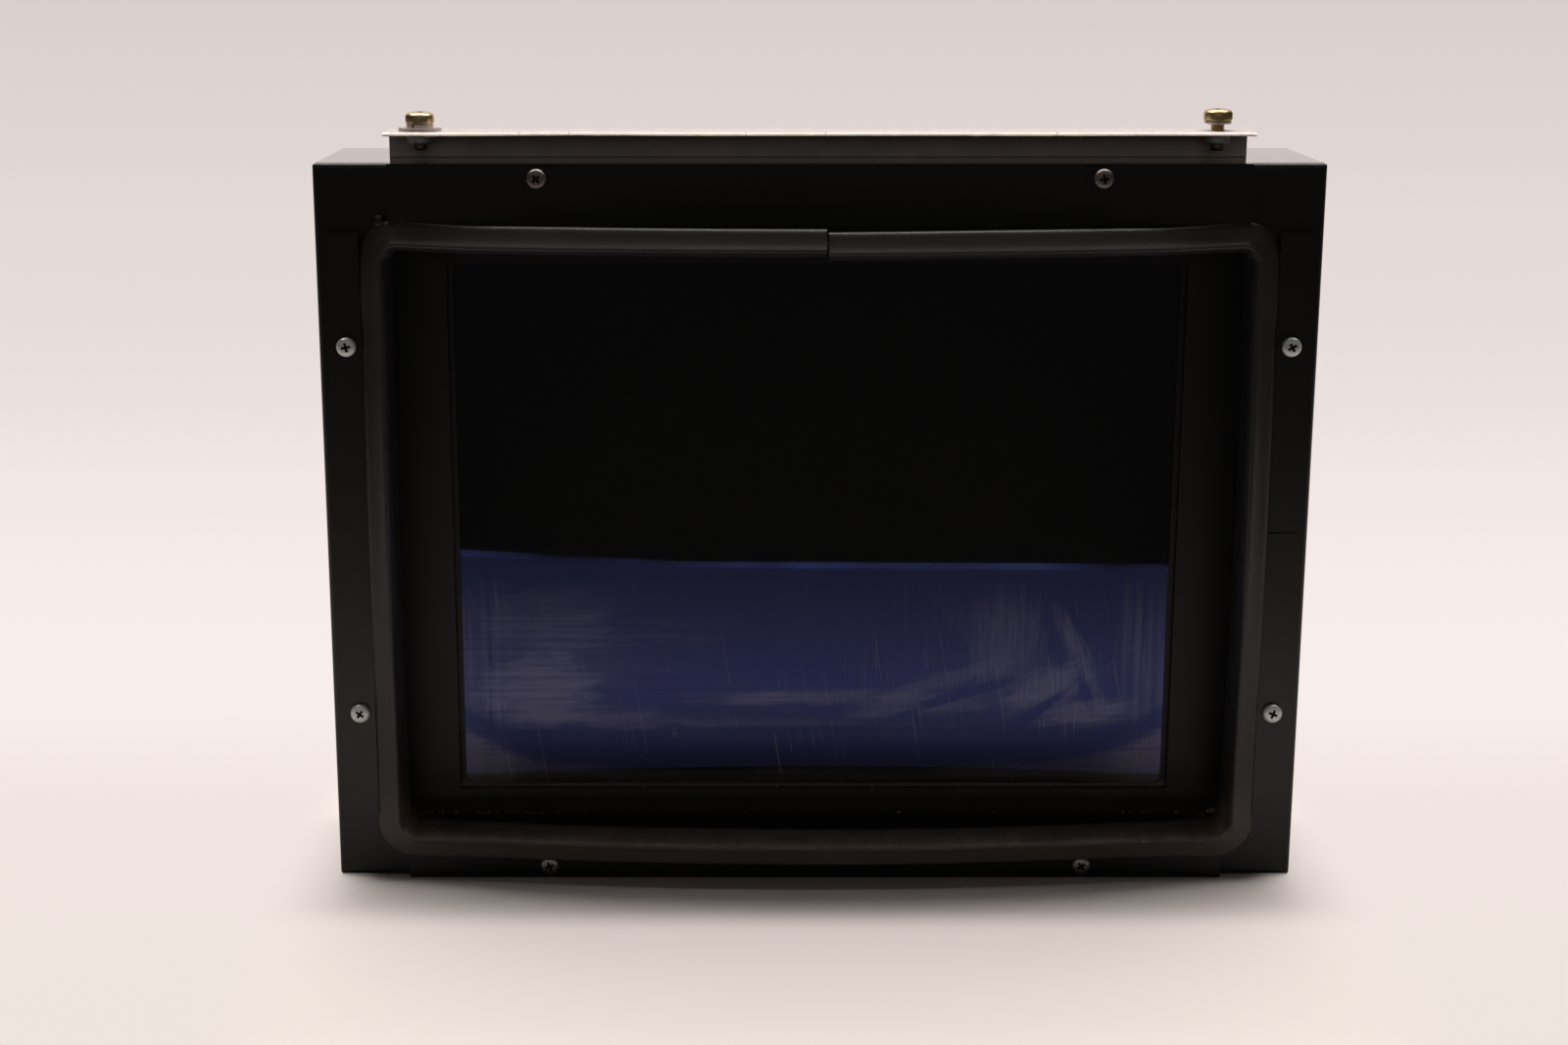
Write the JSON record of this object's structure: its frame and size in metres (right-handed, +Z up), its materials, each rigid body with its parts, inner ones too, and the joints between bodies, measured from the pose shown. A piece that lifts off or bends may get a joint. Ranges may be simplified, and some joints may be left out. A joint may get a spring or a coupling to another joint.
{
  "type": "flat-panel display unit",
  "caption": "Flat panel display in a black sheet-steel box, with a bulged hood edged in rubber round the screen and a galvanised bracket along the top.",
  "frame": {"origin": "centre of the box's underside, where it stands on a table", "axes": "+Z up, -Y out of the screen towards the viewer, +X to the viewer's right"},
  "size_m": [0.408, 0.096, 0.3242],
  "materials": {
    "black_paint": "satin black powder coat",
    "black_zinc": "semi-matt black",
    "seal_rubber": "dull extruded rubber",
    "galvanised": "galvanised sheet",
    "zinc_screw": "bright zinc",
    "yellow_zinc": "yellow passivated zinc",
    "bezel_steel": "dark steel",
    "screen_glass": "smooth polariser film",
    "clear_plastic": "polished acrylic",
    "white_plastic": "matt white",
    "circuit_board": "solder mask",
    "black_plastic": "moulded black",
    "green_plastic": "moulded green",
    "copper_coil": "varnished winding",
    "lead_wire": "wire insulation"
  },
  "bodies": {
    "root": {"front_chassis": "black_paint", "rear_cover": "black_paint", "rear_cover_screws": "zinc_screw", "contour_hood": "black_paint", "edge_seal": "seal_rubber", "mask_panel": "black_paint", "mask_spacers": "galvanised", "mask_screws": "zinc_screw", "strip_top": "black_paint", "strip_bottom": "black_paint", "strip_left": "black_paint", "strip_right_upper": "black_paint", "strip_right_lower": "black_paint", "strip_screws": "zinc_screw", "hood_rivets": "black_zinc", "lcd_bezel": "bezel_steel", "lcd_cell": "screen_glass", "diffuser_sheets": "white_plastic", "light_guide": "clear_plastic", "reflector_sheet": "white_plastic", "backlight_lamps": "white_plastic", "lamp_reflectors": "bezel_steel", "lcd_frame": "white_plastic", "panel_board": "circuit_board", "lcd_bracket_left": "galvanised", "lcd_bracket_right": "galvanised", "lcd_side_screws": "zinc_screw", "lcd_bracket_screws": "zinc_screw", "controller_board": "circuit_board", "controller_parts": "black_plastic", "signal_socket": "bezel_steel", "power_terminal": "green_plastic", "inverter_board": "circuit_board", "inverter_coils": "copper_coil", "board_spacers": "galvanised", "board_screws": "zinc_screw", "panel_ribbon": "white_plastic", "lamp_leads": "lead_wire", "mounting_bracket": "galvanised", "bracket_rivets": "bezel_steel", "clinch_nuts": "galvanised", "bracket_screw_left": "yellow_zinc", "bracket_screw_right": "yellow_zinc", "spring_washers": "zinc_screw", "flat_washer": "galvanised"}
  },
  "joints": []
}
